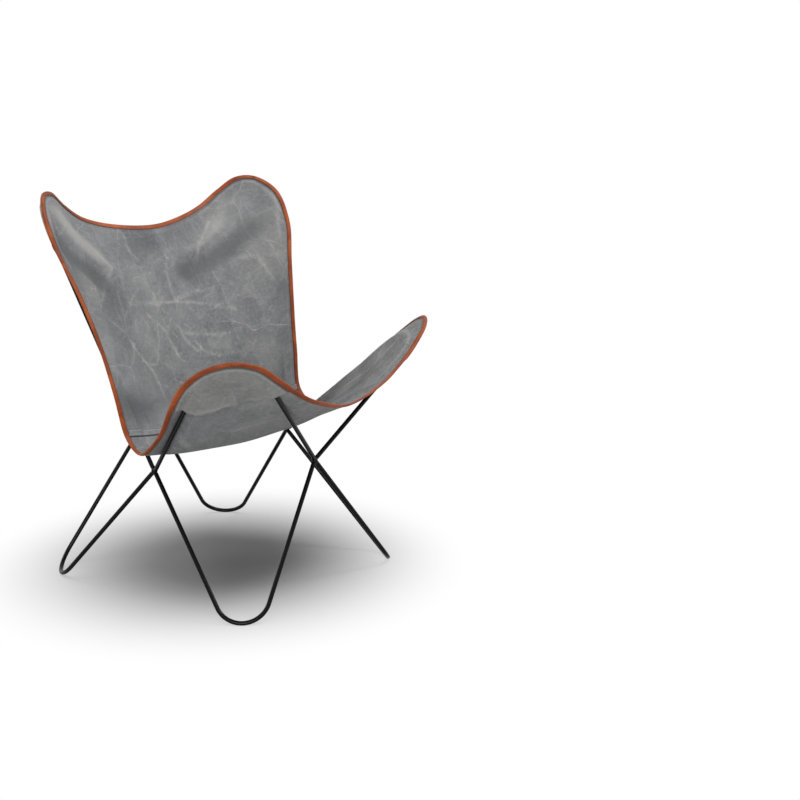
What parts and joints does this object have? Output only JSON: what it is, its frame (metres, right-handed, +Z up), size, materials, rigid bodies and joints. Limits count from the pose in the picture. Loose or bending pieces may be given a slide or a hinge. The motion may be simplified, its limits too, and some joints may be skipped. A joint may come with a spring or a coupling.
{
  "type": "butterfly sling chair",
  "caption": "Lounge chair with a bent rod frame of V-shaped bows and legs and a canvas sling with corner pockets and leather bound edges.",
  "frame": {"origin": "on the floor, under the middle of the chair's width and depth", "axes": "+Z up, the sitter faces -Y, +X on the sitter's left"},
  "size_m": [0.7618, 0.7052, 0.9051],
  "materials": {
    "black_steel": "satin black",
    "canvas": "washed grey, matte",
    "leather": "tan, satin"
  },
  "bodies": {
    "root": {"weld_knot_left": "black_steel", "weld_knot_right": "black_steel", "weld_knot_front": "black_steel", "weld_knot_back": "black_steel", "bow_back_left": "black_steel", "bow_back_right": "black_steel", "bow_front_left": "black_steel", "bow_front_right": "black_steel", "leg_back_left": "black_steel", "leg_back_right": "black_steel", "leg_front_left": "black_steel", "leg_front_right": "black_steel", "seat_panel": "canvas", "back_panel": "canvas", "seam_fell": "canvas", "pocket_back_left": "canvas", "pocket_back_right": "canvas", "pocket_front_left": "canvas", "pocket_front_right": "canvas", "binding_back": "leather", "binding_left": "leather", "binding_front": "leather", "binding_right": "leather"}
  },
  "joints": []
}
